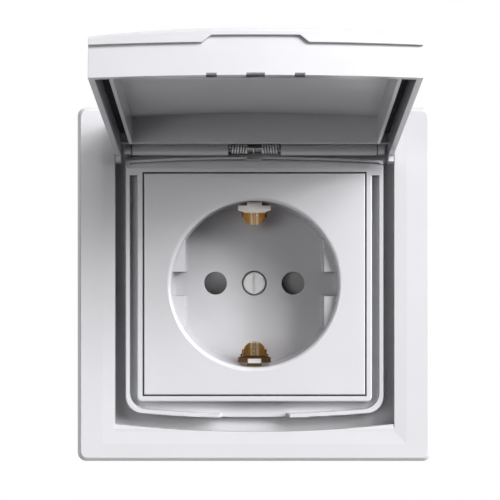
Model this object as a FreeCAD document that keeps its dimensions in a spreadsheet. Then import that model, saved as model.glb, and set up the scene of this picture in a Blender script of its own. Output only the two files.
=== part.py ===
import FreeCAD, Part
import math
import os
import re
import Sketcher
from FreeCAD import Placement, Rotation, Vector

# Flush-mounted weatherproof wall socket with a hinged lid.
# X to the right, Z up, the room is on the -Y side and the wall behind is on the +Y side.
# The origin is on the axis of the plug recess, in the plane of the wall.
# A height h above the wall is the plane y = -h.

doc = FreeCAD.newDocument("weatherproof_socket")
sheet = doc.addObject("Spreadsheet::Sheet", "Dims")

SIZES = [
    # outer frame
    ("frame_half", 41.2, "half the side of the square frame"),
    ("frame_corner", 2.2, "corner radius of the frame"),
    ("frame_edge", 1.0, "rounding inside the corners of the frame"),
    ("bevel_in", 0.8, "width of the steep bevel along the front edge, seen from the front"),
    ("bevel_deep", 1.6, "how far it goes back"),
    ("bevel_corner", 1.8, "its corner radius"),
    ("frame_round", 0.45, "rounding between bevel and front face"),
    ("frame_front", 10.5, "height of the front face over the wall"),
    ("frame_wall", 2.2, "thickness of the front wall"),
    ("frame_skirt", 1.8, "thickness of the side walls"),
    ("open_half", 32.45, "half the width of the opening"),
    ("open_top", 33.5, "top edge of the opening"),
    ("open_low", 34.3, "middle of the curved bottom edge, below the axis"),
    ("open_bulge", 1.8, "how far that edge curves"),
    ("band", 2.85, "width of the sloping band round the opening"),
    ("band_drop", 0.2, "how far that band slopes down"),
    ("ramp_from", 34.5, "start of the ramps in the lower corners of the opening, below the axis"),
    ("ramp_to", 32.3, "their deep end"),
    ("ramp_deep", 0.45, "how far they go down"),
    # hinge
    ("hinge_z", 31.5, "hinge axis over the socket axis"),
    ("hinge_h", 10.2, "hinge axis over the wall"),
    ("open_angle", 100.0, "how far the lid stands open"),
    ("pin_r", 0.8, "hinge pin"),
    ("pin_half", 30.1, "half its length"),
    ("barrel_r", 1.6, "lid barrel"),
    ("barrel_bore", 0.86, "bore of the lid barrel"),
    ("barrel_in", 6.1, "inner end of each barrel"),
    ("barrel_out", 28.3, "outer end of each barrel"),
    ("lug_r", 1.35, "radius of the carrier's lugs"),
    ("lug_bore", 0.81, "bore of the lugs"),
    ("endlug_in", 28.6, "inner side of the end lugs"),
    ("endlug_out", 30.1, "outer side of the end lugs"),
    ("relief_r", 1.8, "room round the lugs and the spring"),
    ("coil_r", 1.2, "outside of the spring's coils"),
    ("coil_in", 0.92, "inside of the coils"),
    ("coil_from", 1.7, "inner end of a coil"),
    ("coil_to", 5.8, "outer end of a coil"),
    ("loop_room", 1.85, "half the width of the notch for the spring's loop"),
    # lid, measured from the hinge axis: d along the lid, n outwards from it
    ("lid_half", 32.0, "half the width"),
    ("lid_len", 65.65, "axis to the middle of the free end"),
    ("lid_bulge", 2.0, "curve of the free end"),
    ("lid_top", 7.05, "outer face over the axis, in the middle"),
    ("lid_dome", 1.15, "curve of the outer face"),
    ("lid_rim", 2.3, "rim of the skirt under the axis"),
    ("lid_panel", 1.6, "thickness of the panel"),
    ("lid_skirt", 1.2, "thickness of the skirt"),
    ("lid_lip", 0.75, "how far the lip stands over the end wall"),
    ("lid_lip_n", 4.05, "underside of the lip over the axis"),
    ("lid_notch", 10.2, "half the width of the notch in the lip"),
    ("lid_notch_in", 8.5, "half its width at the top"),
    ("lid_notch_soft", 0.9, "rounding of its upper corners"),
    ("lid_notch_n", 5.45, "top of the notch"),
    ("lid_back", 3.0, "inner face of the hinge wall"),
    ("lid_edge", 0.7, "rounding of the outer edges"),
    ("lid_clear", 0.55, "hinge end over the axis with the lid open"),
    ("ring_half", 28.3, "outside of the inner ring"),
    ("ring_wall", 0.75, "its thickness"),
    ("web_wall", 1.1, "web between the ring and the hinge wall"),
    ("web_n", 0.6, "underside of the web and of the hinge wall over the axis"),
    ("ring_rim", 1.45, "its rim under the axis"),
    ("ring_from", 10.0, "its hinge end"),
    ("ring_to", 60.5, "its free end"),
    ("ring_corner", 2.0, "its corner radius"),
    ("ear_n", 3.7, "ears under the axis"),
    ("ear_from", 0.65, "ears, hinge side"),
    ("ear_to", 2.6, "ears, free side"),
    ("seal_n", 1.9, "lid seal, face over the axis"),
    ("seal_up", 4.0, "lid seal, back over the axis"),
    ("seal_gap", 0.1, "room on each side of the lid seal"),
    # hinge carrier
    ("carrier_half", 35.0, "half the side of the flange"),
    ("carrier_back", 1.8, "back of the flange"),
    ("carrier_floor", 3.0, "front of the flange, floor of the channel"),
    ("screw_room", 2.5, "front of the pockets over the box screws"),
    ("screw_half", 4.6, "half the height of these pockets"),
    ("rib_soft", 0.3, "rounding of the outer rib"),
    ("rib2_soft", 0.4, "rounding of the inner rib"),
    ("rib_top", 8.5, "height of both ribs"),
    ("rib1_out", 30.1, "outer rib, outside"),
    ("rib1_in", 29.15, "outer rib, inside"),
    ("rib1_low", 31.35, "outer rib, middle of the bottom run, outside"),
    ("rib1_bulge", 1.5, "curve of the bottom run"),
    ("rib1_corner", 4.0, "corner radius outside"),
    ("rib2_out", 27.45, "inner rib, outside"),
    ("rib2_corner", 1.2, "corner radius outside"),
    ("groove_floor", 5.2, "floor of the groove between the ribs"),
    ("groove_top", 25.4, "square upper end of the groove"),
    ("bed_half", 26.15, "half the side of the plate's bed"),
    ("ledge_half", 24.0, "half the side of the way through"),
    ("ledge_top", 3.4, "ledge that the centre plate holds down"),
    ("rib_break", 8.0, "half the width of the break in the outer rib"),
    ("break_slant", 0.45, "how far the ends of the rib lean at the break"),
    ("top_z", 29.75, "upper edge of the carrier, in the middle"),
    ("top_bulge", 0.9, "curve of that edge"),
    # centre plate
    ("plate_half", 25.83, "half the side"),
    ("plate_face", 8.5, "height of the face"),
    ("plate_wall", 2.0, "thickness"),
    ("plate_skirt", 1.4, "thickness of the side walls"),
    ("plate_back", 3.6, "back of the side walls"),
    ("cup_r", 19.5, "radius of the recess"),
    ("cup_wall", 1.7, "wall of the cup"),
    ("cup_depth", 17.5, "depth of the recess"),
    ("cup_floor", 1.5, "thickness of the floor"),
    ("cup_edge", 1.0, "rounding of the mouth"),
    ("chord", 16.4, "side ledges, distance from the axis"),
    ("chord_drop", 2.6, "side ledges under the face"),
    ("side_notch", 2.85, "half the height of the side notches"),
    ("pin_pitch", 19.0, "distance between the pin holes"),
    ("hole_r", 2.8, "pin holes"),
    ("head_hole_r", 3.05, "hole round the screw head"),
    ("boss_r", 4.4, "boss behind the screw head"),
    ("boss_back", 12.3, "its back, behind the wall plane"),
    ("shelf_y", 11.1, "shelf under the screw head"),
    ("shank_hole_r", 1.9, "hole for the screw's shank"),
    ("clip_slot", 3.4, "half the width of the slots for the earth clips"),
    ("clip_slot_y", 6.5, "front end of these slots"),
    ("clip_slot_z", 0.95, "half their height, about the middle of the strap's legs"),
    # plate screw
    ("head_r", 2.72, "screw head"),
    ("head_front", 9.15, "front of the head, behind the wall plane"),
    ("head_slot", 0.7, "width of the slot"),
    ("head_slot_depth", 0.5, "depth of the slot"),
    ("shank_r", 1.5, "shank"),
    ("shank_end", 27.5, "end of the shank"),
    # earth clips
    ("strip", 0.8, "thickness of the earth strap"),
    ("ear_half", 3.85, "half the width over the ears"),
    ("stem_half", 1.75, "half the width of the front end"),
    ("dome_r", 2.6, "rounded contact"),
    ("dome_z", 16.4, "its centre"),
    ("ear_low", 17.35, "inner end of the ears"),
    ("ear_high", 18.5, "outer end of the ears"),
    ("ear_neck", 2.5, "half the width where they run into the contact"),
    ("clip_tip", 19.35, "front end of a clip, from the socket axis"),
    ("strap_half", 3.0, "half the width of the strap at the back"),
    ("strap_z", 18.3, "middle of the strap's legs"),
    ("strap_y", 24.6, "front of the strap's web"),
    # support ring
    ("sring_half", 35.5, "half the side"),
    ("sring_wall", 1.0, "thickness"),
    ("sring_corner", 6.0, "corner cut"),
    ("sring_hole", 21.8, "hole for the cup"),
    ("box_pitch", 60.0, "distance between the box screws"),
    ("slot_len", 8.0, "length of the slots"),
    ("slot_r", 2.1, "half their width"),
    ("post", 17.6, "rivets, from both middle planes"),
    ("rivet_r", 1.4, "rivet shank"),
    ("rivet_head", 2.2, "rivet head"),
    ("rivet_hole", 1.46, "rivet hole"),
    # base
    ("base_half", 21.0, "half the side of the base"),
    ("base_r", 27.5, "its corners lie on this radius"),
    ("base_front", 10.8, "front of the base"),
    ("base_back", 28.0, "back of the base"),
    ("post_r", 2.9, "posts behind the support ring"),
    ("cover_back", 30.0, "back of the rear cover"),
    # shutter
    ("shut_half", 14.0, "half the width of the shutter"),
    ("shut_front", 11.0, "front of the shutter"),
    ("shut_back", 16.0, "back of the shutter"),
    ("shut_low", 3.2, "lower edge under the axis"),
    ("shut_rise", 2.9, "top of the ramps"),
    ("shut_top", 7.2, "top edge"),
    ("shut_arch", 4.9, "arch over the screw boss"),
    ("shut_travel", 6.0, "travel"),
    ("well_half", 14.4, "half the width of the shutter well"),
    ("well_back", 16.4, "back of the well"),
    ("well_top", 16.2, "top of the well"),
    ("well_low", 3.7, "bottom of the well"),
    # contacts and terminals
    ("cont_r", 3.3, "pin contact, outside"),
    ("cont_in", 2.45, "pin contact, inside"),
    ("cont_front", 17.0, "front of the contacts"),
    ("cont_back", 25.0, "back of the contacts"),
    ("term_x", 13.0, "terminals, from the middle plane"),
    ("term_z", 13.4, "terminals, below the axis"),
    ("term_half", 3.6, "half the width of a terminal"),
    ("term_front", 17.6, "front of a terminal"),
    ("term_back", 26.0, "back of a terminal"),
    ("tscrew_r", 1.6, "terminal screw"),
    # gaskets
    ("gasket_in", 35.9, "frame gasket, inside"),
    ("gasket_out", 38.9, "frame gasket, outside"),
    ("gasket_h", 0.8, "frame gasket, height"),
    ("seat_in", 27.2, "carrier gasket, inside"),
    ("seat_out", 34.5, "carrier gasket, outside"),
]
for row, (alias, value, note) in enumerate(SIZES, 1):
    sheet.set("A%d" % row, note)
    sheet.set("B%d" % row, "%.6g" % value)
    sheet.setAlias("B%d" % row, alias)
doc.recompute()


def size(alias):
    return float(sheet.get(alias))


def ex(text):
    """$name in an expression means the sheet's cell of that name."""
    return re.sub(r"\$(\w+)", r"Dims.\1", text)


def box(name, x, y, z):
    """A block between pairs of coordinates, each an expression."""
    made = doc.addObject("Part::Box", name)
    for side, base, (low, high) in (("Length", "x", x), ("Width", "y", y), ("Height", "z", z)):
        made.setExpression(side, ex("(%s)-(%s)" % (high, low)))
        made.setExpression("Placement.Base." + base, ex(low))
    return made


TURN = {
    "x": Rotation(Vector(0, 1, 0), 90),
    "y": Rotation(Vector(1, 0, 0), -90),
    "z": Rotation(),
}


def taper(name, y, x, z, x_back, z_back):
    """A block with sloping sides: x and z are its front end, x_back and z_back its back end."""
    made = doc.addObject("Part::Wedge", name)
    ends = (("Xmin", x[0]), ("Xmax", x[1]), ("Zmin", z[0]), ("Zmax", z[1]), ("Ymin", y[0]), ("Ymax", y[1]),
            ("X2min", x_back[0]), ("X2max", x_back[1]), ("Z2min", z_back[0]), ("Z2max", z_back[1]))
    for key, text in ends:
        made.setExpression(key, ex(text))
    return made


def cyl(name, axis, centre, radius, span):
    """A cylinder along an axis; centre holds the two other coordinates, span its two ends."""
    made = doc.addObject("Part::Cylinder", name)
    made.Placement = Placement(Vector(), TURN[axis])
    made.setExpression("Radius", ex(radius))
    made.setExpression("Height", ex("(%s)-(%s)" % (span[1], span[0])))
    others = [a for a in "xyz" if a != axis]
    for base, value in zip(others + [axis], list(centre) + [span[0]]):
        made.setExpression("Placement.Base." + base, ex(value))
    return made


def fuse(name, *shapes):
    made = doc.addObject("Part::MultiFuse", name)
    made.Shapes = list(shapes)
    return made


def common(name, *shapes):
    made = doc.addObject("Part::MultiCommon", name)
    made.Shapes = list(shapes)
    return made


def cut(name, base, *tools):
    tool = tools[0] if len(tools) == 1 else fuse(name + "_tools", *tools)
    made = doc.addObject("Part::Cut", name)
    made.Base = base
    made.Tool = tool
    return made


def group(name, *shapes):
    made = doc.addObject("Part::Compound", name)
    made.Links = list(shapes)
    return made


def fillet(name, base, radius, want):
    """Rounds the edges of base that want() picks by their middle point and direction."""
    doc.recompute()
    made = doc.addObject("Part::Fillet", name)
    made.Base = base
    picked = []
    for number, edge in enumerate(base.Shape.Edges, 1):
        low, high = edge.ParameterRange
        if want(edge.valueAt((low + high) / 2.0), edge.tangentAt((low + high) / 2.0)):
            picked.append((number, size(radius), size(radius)))
    made.Edges = picked
    doc.recompute()
    return made


def bulged(name, half, low, bulge, top, y):
    """A block whose bottom edge, seen from the front, is an arc; low and bulge are positive."""
    block = box(name + "_block", ("-(%s)" % half, half), y, ("-(%s)" % low, top))
    radius = "((%s)^2+(%s)^2)/(2*(%s))" % (half, bulge, bulge)
    arc = cyl(name + "_arc", "y", ("0", "%s-(%s)" % (radius, low)), radius, y)
    return common(name, block, arc)


def sketch_on(body, name, role, offset):
    plane = next(o for o in body.Origin.OriginFeatures if o.Role == role)
    made = body.newObject("Sketcher::SketchObject", name)
    made.AttachmentSupport = [(plane, "")]
    made.MapMode = "FlatFace"
    made.setExpression("AttachmentOffset.Base.z", ex(offset))
    return made


def polygon(sketch, points):
    """A closed outline; every corner is bound to two expressions."""
    doc.recompute()
    first = sketch.GeometryCount
    values = []
    for number, (across, up) in enumerate(points):
        scratch = doc.addObject("App::FeaturePython", "scratch")
        scratch.addProperty("App::PropertyFloat", "across")
        scratch.addProperty("App::PropertyFloat", "up")
        scratch.setExpression("across", ex(across))
        scratch.setExpression("up", ex(up))
        scratch.recompute()
        values.append((scratch.across, scratch.up))
        doc.removeObject(scratch.Name)
    count = len(points)
    for number in range(count):
        start, end = values[number], values[(number + 1) % count]
        sketch.addGeometry(Part.LineSegment(Vector(start[0], start[1], 0), Vector(end[0], end[1], 0)))
    for number in range(count):
        sketch.addConstraint(Sketcher.Constraint("Coincident", first + number, 2, first + (number + 1) % count, 1))
    for number, (across, up) in enumerate(points):
        for kind, text, value in (("DistanceX", across, values[number][0]), ("DistanceY", up, values[number][1])):
            index = sketch.addConstraint(Sketcher.Constraint(kind, -1, 1, first + number, 1, value))
            sketch.setExpression("Constraints[%d]" % index, ex(text))


def disc(sketch, across, up, radius):
    doc.recompute()
    scratch = doc.addObject("App::FeaturePython", "scratch")
    for key, text in (("across", across), ("up", up), ("radius", radius)):
        scratch.addProperty("App::PropertyFloat", key)
        scratch.setExpression(key, ex(text))
    scratch.recompute()
    number = sketch.addGeometry(Part.Circle(Vector(scratch.across, scratch.up, 0), Vector(0, 0, 1), scratch.radius))
    for arguments, text in (
        (("DistanceX", -1, 1, number, 3, scratch.across), across),
        (("DistanceY", -1, 1, number, 3, scratch.up), up),
        (("Radius", number, scratch.radius), radius),
    ):
        index = sketch.addConstraint(Sketcher.Constraint(*arguments))
        sketch.setExpression("Constraints[%d]" % index, ex(text))
    doc.removeObject(scratch.Name)


def pad(body, name, sketch, length):
    made = body.newObject("PartDesign::Pad", name)
    made.Profile = sketch
    made.setExpression("Length", ex(length))
    doc.recompute()
    return made


def pocket(body, name, sketch, length):
    doc.recompute()
    before = body.Shape.Volume
    made = body.newObject("PartDesign::Pocket", name)
    made.Profile = sketch
    made.setExpression("Length", ex(length))
    doc.recompute()
    if body.Shape.Volume >= before - 1e-6:
        raise RuntimeError("%s removes nothing" % name)
    return made


def revolve(body, name, sketch, axis):
    made = body.newObject("PartDesign::Revolution", name)
    made.Profile = sketch
    made.ReferenceAxis = (sketch, [axis])
    made.Angle = 360.0
    doc.recompute()
    return made


nodes = []


def node(made, label):
    made.Label = label
    nodes.append(made)
    return made


BIG = ("-90", "90")

# ---------------------------------------------------------------- outer frame
block = box("frame_body", ("-$frame_half", "$frame_half"), ("-$frame_front", "0"), ("-$frame_half", "$frame_half"))
block = fillet("frame_corners", block, "frame_corner", lambda p, t: abs(t.y) > 0.99)
front_edge = -size("frame_front")
bevel_back = "$frame_half-$bevel_in+$frame_front*$bevel_in/$bevel_deep"
bevel = taper(
    "frame_bevel", ("-$frame_front", "0"),
    ("-$frame_half+$bevel_in", "$frame_half-$bevel_in"), ("-$frame_half+$bevel_in", "$frame_half-$bevel_in"),
    ("-(%s)" % bevel_back, bevel_back), ("-(%s)" % bevel_back, bevel_back),
)
bevel = fillet("frame_bevel_corners", bevel, "bevel_corner", lambda p, t: abs(t.y) > 0.5)
block = common("frame_bevelled", block, bevel)
block = fillet("frame_rounded", block, "frame_round", lambda p, t: abs(p.y - front_edge) < 1e-3)
hollow = box(
    "frame_hollow",
    ("-$frame_half+$frame_skirt", "$frame_half-$frame_skirt"),
    ("-$frame_front+$frame_wall", "1"),
    ("-$frame_half+$frame_skirt", "$frame_half-$frame_skirt"),
)
hollow = fillet("frame_hollow_corners", hollow, "frame_edge", lambda p, t: abs(t.y) > 0.99)
opening = bulged("opening", "$open_half", "$open_low", "$open_bulge", "$open_top", ("-$frame_front-5", "1"))
# a band round the opening slopes gently inwards; its tool reaches as far in front of the face as behind it
band = taper(
    "band_cut", ("-$frame_front-$band_drop", "-$frame_front+$band_drop"),
    ("-$open_half-2*$band", "$open_half+2*$band"), ("-$open_low+0.1-2*$band", "$open_top+2*$band"),
    ("-$open_half", "$open_half"), ("-$open_low+0.1", "$open_top"),
)
# between the straight lower end of the side walls and the curved edge the face slopes down
ramp = taper(
    "corner_ramps", ("-$frame_front-$ramp_deep", "-$frame_front+$ramp_deep"),
    ("-$open_half", "$open_half"), ("-2*$ramp_from+$ramp_to", "-10"), ("-$open_half", "$open_half"), ("-$ramp_to", "-10"),
)
case = cut("frame_case", block, hollow)
node(cut("frame_made", case, opening, band, ramp), "frame")

# ---------------------------------------------------------------- hinge carrier
flange = box(
    "carrier_flange", ("-$carrier_half", "$carrier_half"), ("-$carrier_floor", "-$carrier_back"),
    ("-$carrier_half", "$carrier_half"),
)
flange = fillet("carrier_flange_round", flange, "frame_corner", lambda p, t: abs(t.y) > 0.99)
rib1 = bulged(
    "rib1", "$rib1_out", "$rib1_low", "$rib1_bulge", "$top_z", ("-$rib_top", "-$carrier_floor+0.5"),
)
rib1_low = -size("rib1_low") + size("rib1_bulge") - 0.2
rib1 = fillet("rib1_round", rib1, "rib1_corner", lambda p, t: abs(t.y) > 0.99 and p.z < 0)
crown_r = "(($rib1_out^2+$top_bulge^2)/(2*$top_bulge))"
crown = cyl("crown", "y", ("0", "$top_z-" + crown_r), crown_r, ("-$rib_top-1", "0"))
rib1 = common("rib1_crowned", rib1, crown)
rib_front = -size("rib_top")
rib1 = fillet("rib1_soft", rib1, "rib_soft", lambda p, t: abs(p.y - rib_front) < 1e-3)
well_out = bulged(
    "groove_out", "$rib1_in", "$rib1_low-$rib1_out+$rib1_in", "$rib1_bulge", "$groove_top", ("-$rib_top-1", "-$groove_floor"),
)
well_out = fillet("groove_round", well_out, "rib1_corner", lambda p, t: abs(t.y) > 0.99 and p.z < 0)
well_in = box("rib2", ("-$rib2_out", "$rib2_out"), ("-$rib_top", "0"), ("-$rib2_out", "$rib2_out+20"))
well_in = fillet("rib2_round", well_in, "rib2_corner", lambda p, t: abs(t.y) > 0.99 and p.z < 0)
well_in = fillet("rib2_softened", well_in, "rib2_soft", lambda p, t: abs(p.y - rib_front) < 1e-3 and p.z < 20)
groove = cut("groove", well_out, well_in)
bed = box("bed", ("-$bed_half", "$bed_half"), ("-$rib_top-3", "-$ledge_top"), ("-$bed_half", "$bed_half"))
way = box("way", ("-$ledge_half", "$ledge_half"), ("-$rib_top-3", "1"), ("-$ledge_half", "$ledge_half"))
# the outer rib is broken in the middle of its bottom run, down to the floor of the groove
gap = taper(
    "rib_gap", ("-$rib_top-1", "-$groove_floor"),
    ("-$rib_break-$break_slant", "$rib_break+$break_slant"), ("-$rib1_low-1", "-$rib2_out-0.8"),
    ("-$rib_break+$break_slant", "$rib_break-$break_slant"), ("-$rib1_low-1", "-$rib2_out-0.8"),
)
# above the plate the face slopes back to a narrow groove, and a lip closes the upper edge
crown_z = "$top_z-" + crown_r
step = common(
    "top_groove",
    cut(
        "groove_arc",
        cyl("groove_arc_out", "y", ("0", crown_z), crown_r + "-0.6", ("-$rib_top-1", "-$rib_top+1.9")),
        cyl("groove_arc_in", "y", ("0", crown_z), crown_r + "-0.9", ("-$rib_top-2", "-$rib_top+3")),
    ),
    fuse(
        "groove_reach",
        box("groove_reach_left", ("-$rib1_in", "-$loop_room"), ("-$rib_top-2", "0"), ("20", "40")),
        box("groove_reach_right", ("$loop_room", "$rib1_in"), ("-$rib_top-2", "0"), ("20", "40")),
    ),
)
lower = cut(
    "top_lip",
    box("lip_front", ("-40", "40"), ("-$rib_top-1", "-$rib_top+0.2"), ("$top_z-3", "$top_z+3")),
    cyl("lip_keep", "y", ("0", crown_z), crown_r + "-0.6", ("-$rib_top-2", "0")),
)
loop_notch = box("loop_notch", ("-$loop_room", "$loop_room"), ("-$rib_top-1", "-$carrier_floor"), ("$top_z-0.5", "$top_z+3"))
slope = common(
    "top_slope",
    taper(
        "top_slant", ("-$rib_top-0.8", "-$rib_top+0.8"),
        ("-40", "40"), ("25.2", "$top_z-0.5"), ("-40", "40"), ("28.8", "$top_z-0.5"),
    ),
    cyl("slope_keep", "y", ("0", crown_z), crown_r + "-0.9", ("-$rib_top-2", "0")),
)
lugs = []
for side, (inner, outer) in {
    "left_end": ("-$endlug_out", "-$endlug_in"), "right_end": ("$endlug_in", "$endlug_out"),
}.items():
    lugs.append(cyl("lug_eye_" + side, "x", ("-$hinge_h", "$hinge_z"), "$lug_r", (inner, outer)))
    lugs.append(box("lug_foot_" + side, (inner, outer), ("-$hinge_h", "-$carrier_floor+0.5"), ("$hinge_z-$lug_r", "$hinge_z+$lug_r")))
ribs = cut("carrier_ribs", rib1, groove, gap, step, lower, slope, loop_notch)
carrier = fuse("carrier_solid", flange, ribs, *lugs)
lug_hole = cyl("lug_holes", "x", ("-$hinge_h", "$hinge_z"), "$lug_bore", ("-40", "40"))
rooms = [
    box("screw_room_left", ("-$carrier_half+0.7", "-$bed_half-0.8"), ("-$screw_room", "0"), ("-$screw_half", "$screw_half")),
    box("screw_room_right", ("$bed_half+0.8", "$carrier_half-0.7"), ("-$screw_room", "0"), ("-$screw_half", "$screw_half")),
]
node(cut("carrier_made", carrier, bed, way, lug_hole, *rooms), "hinge_carrier")

# ---------------------------------------------------------------- lid, built closed with the hinge axis as its origin
bulge_r = "(($lid_half^2+$lid_bulge^2)/(2*$lid_bulge))"
dome_r = "(($lid_half^2+$lid_dome^2)/(2*$lid_dome))"


def lid_form(name, half, n_low, n_top, d_from, shrink, thinner):
    """The lid's outer form, drawn in by shrink at the free end and by thinner under the dome."""
    block = box(name + "_b", ("-(%s)" % half, half), ("-(%s)" % n_top, "-(%s)" % n_low), ("-$lid_len+%s" % shrink, "-(%s)" % d_from))
    end = cyl(name + "_e", "y", ("0", "%s-$lid_len" % bulge_r), "%s-(%s)" % (bulge_r, shrink), ("-30", "30"))
    dome = cyl(name + "_d", "z", ("0", "%s-$lid_top" % dome_r), "%s-(%s)" % (dome_r, thinner), BIG)
    return common(name, block, end, dome)


outer = lid_form("lid_outer", "$lid_half", "-$lid_rim", "$lid_top", "0", "0", "0")
lid_far = size("lid_top") - size("lid_dome") - 0.4
outer = fillet("lid_outer_round", outer, "lid_edge", lambda p, t: -p.y > lid_far and p.z < -1)
inner = lid_form("lid_inner", "$lid_half-$lid_skirt", "-$lid_rim-1", "$lid_top", "$lid_back", "$lid_lip+$lid_skirt", "$lid_panel")
end_keep = cyl("end_keep", "y", ("0", bulge_r + "-$lid_len"), bulge_r + "-$lid_lip", ("-30", "30"))
lip_notch = taper(
    "lip_notch", ("-$lid_notch_n", "-$lid_lip_n+0.01"), ("-$lid_notch_in", "$lid_notch_in"), ("-$lid_len-2", "-$lid_len+9"),
    ("-$lid_notch", "$lid_notch"), ("-$lid_len-2", "-$lid_len+9"),
)
lip_notch = fillet(
    "lip_notch_round", lip_notch, "lid_notch_soft", lambda p, t: abs(t.z) > 0.99 and abs(p.y + size("lid_notch_n")) < 1e-3
)
under_lip = cut(
    "under_lip",
    fuse(
        "lip_zone",
        box("lip_zone_a", ("-40", "40"), ("-$lid_lip_n", "$lid_rim+1"), ("-$lid_len-2", "-$lid_len+9")),
        lip_notch,
    ),
    end_keep,
)
shell = cut("lid_shell", outer, inner, under_lip)
ring = box(
    "ring_out", ("-$ring_half", "$ring_half"), ("-$lid_top+$lid_dome+0.4", "$ring_rim"), ("-$ring_to", "-$ring_from"),
)
ring = fillet("ring_out_round", ring, "ring_corner", lambda p, t: abs(t.y) > 0.99 and p.z < -30)
ring_in = box(
    "ring_in", ("-$ring_half+$ring_wall", "$ring_half-$ring_wall"), ("-$lid_top-2", "$lid_rim+2"),
    ("-$ring_to+$ring_wall", "-$ring_from-$ring_wall"),
)
ring_in = fillet("ring_in_round", ring_in, "frame_edge", lambda p, t: abs(t.y) > 0.99 and p.z < -30)
ring = common("ring", cut("ring_frame", ring, ring_in), lid_form("ring_cap", "40", "-9", "$lid_top", "0", "0", "0.5"))
bars = []
for side, sign in (("left", "-"), ("right", "")):
    ends = ("$barrel_in", "$barrel_out") if not sign else ("-$barrel_out", "-$barrel_in")
    bars.append(cyl("barrel_" + side, "x", ("0", "0"), "$barrel_r", ends))
    ends = ("$lid_half-$lid_skirt", "$lid_half") if not sign else ("-$lid_half", "-$lid_half+$lid_skirt")
    bars.append(box("ear_" + side, ends, ("-1", "$ear_n"), ("-$ear_to", "-$ear_from")))
# the hinge end stops short of the frame's front when the lid stands open
relief = box("lid_relief", ("-40", "40"), ("-$lid_clear", "20"), ("1.55", "25"))
relief.setExpression("Placement.Rotation.Angle", None)
back = Rotation(Vector(1, 0, 0), size("open_angle"))
corner = back.multVec(Vector(-40, -size("lid_clear"), 1.55))
for base in ("x", "y", "z"):
    relief.setExpression("Placement.Base." + base, None)
relief.Placement = Placement(corner, back)
near = box("lid_near", ("-40", "40"), ("-4", "20"), ("-0.56", "3"))
trim = box("hinge_trim", ("-$lid_half+$lid_skirt", "$lid_half-$lid_skirt"), ("-$web_n", "20"), ("-$lid_back-2", "4"))
free = [
    cyl("room_mid", "x", ("0", "0"), "$relief_r", ("-$barrel_in", "$barrel_in")),
    cyl("room_left", "x", ("0", "0"), "$relief_r", ("-$lid_half+$lid_skirt", "-$barrel_out")),
    cyl("room_right", "x", ("0", "0"), "$relief_r", ("$barrel_out", "$lid_half-$lid_skirt")),
    box("spring_window", ("-$barrel_in", "$barrel_in"), ("-2.2", "$lid_rim+1"), ("-$lid_back-0.3", "3")),
    box("lug_way_left", ("-$lid_half+$lid_skirt", "-$barrel_out"), ("-0.2", "$lid_rim+1"), ("-$relief_r", "3")),
    box("lug_way_right", ("$barrel_out", "$lid_half-$lid_skirt"), ("-0.2", "$lid_rim+1"), ("-$relief_r", "3")),
]
web = box("hinge_web", ("-$ring_half+0.01", "$ring_half-0.01"), ("-$web_n-$web_wall", "-$web_n"), ("-$ring_from-$ring_wall/2", "-$lid_back+0.4"))
body = cut("lid_trimmed", fuse("lid_ringed", shell, ring, web), relief, near, trim)
body = cut("lid_roomed", fuse("lid_hinged", body, *bars), *free)
bore = cyl("lid_bore", "x", ("0", "0"), "$barrel_bore", ("-$barrel_out-0.5", "$barrel_out+0.5"))
nicks = [
    box("nick_mid", ("-1.75", "1.75"), ("$lid_rim-0.45", "$lid_rim+1"), ("-$lid_len-1", "-$lid_len+4")),
    box("nick_left", ("-9.4", "-7.4"), ("$lid_rim-0.45", "$lid_rim+1"), ("-$lid_len-1", "-$lid_len+4")),
    box("nick_right", ("7.4", "9.4"), ("$lid_rim-0.45", "$lid_rim+1"), ("-$lid_len-1", "-$lid_len+4")),
]
lid = node(cut("lid_made", body, bore, *nicks), "lid")
seal_out = lid_form(
    "seal_out", "$lid_half-$lid_skirt-$seal_gap", "$seal_n", "$seal_up", "$ring_from-3.4",
    "$lid_lip+$lid_skirt+$seal_gap", "0",
)
seal_in = box(
    "seal_in", ("-$ring_half-$seal_gap", "$ring_half+$seal_gap"), ("-9", "9"),
    ("-$ring_to-$seal_gap", "-$ring_from+$seal_gap"),
)
seal = node(cut("seal_made", seal_out, seal_in), "lid_seal")
open_place = Placement(
    Vector(0, -size("hinge_h"), size("hinge_z")), Rotation(Vector(1, 0, 0), -size("open_angle"))
)
for opened in (lid, seal):
    opened.Placement = open_place
    opened.setExpression("Placement.Base.y", ex("-$hinge_h"))
    opened.setExpression("Placement.Base.z", ex("$hinge_z"))
    opened.setExpression("Placement.Rotation.Angle", ex("$open_angle"))
    opened.setExpression("Placement.Rotation.Angle", None)
    opened.Placement = open_place

node(cyl("pin_made", "x", ("-$hinge_h", "$hinge_z"), "$pin_r", ("-$pin_half", "$pin_half")), "hinge_pin")
coils = []
for side, ends in (("left", ("-$coil_to", "-$coil_from")), ("right", ("$coil_from", "$coil_to"))):
    coils.append(cyl("coil_" + side, "x", ("-$hinge_h", "$hinge_z"), "$coil_r", ends))
coils.append(box("cross_bar", ("-$coil_from-0.2", "$coil_from+0.2"), ("-$hinge_h-1.18", "-$hinge_h-0.93"), ("$hinge_z-0.3", "$hinge_z+0.1")))
coils.append(box("spring_tail", ("-0.4", "0"), ("-$hinge_h-1.18", "-$hinge_h-0.93"), ("$hinge_z-1.35", "$hinge_z")))
spring_bore = cyl("spring_bore", "x", ("-$hinge_h", "$hinge_z"), "$coil_in", ("-9", "9"))
node(cut("spring_made", fuse("spring_wire", *coils), spring_bore), "hinge_spring")

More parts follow.
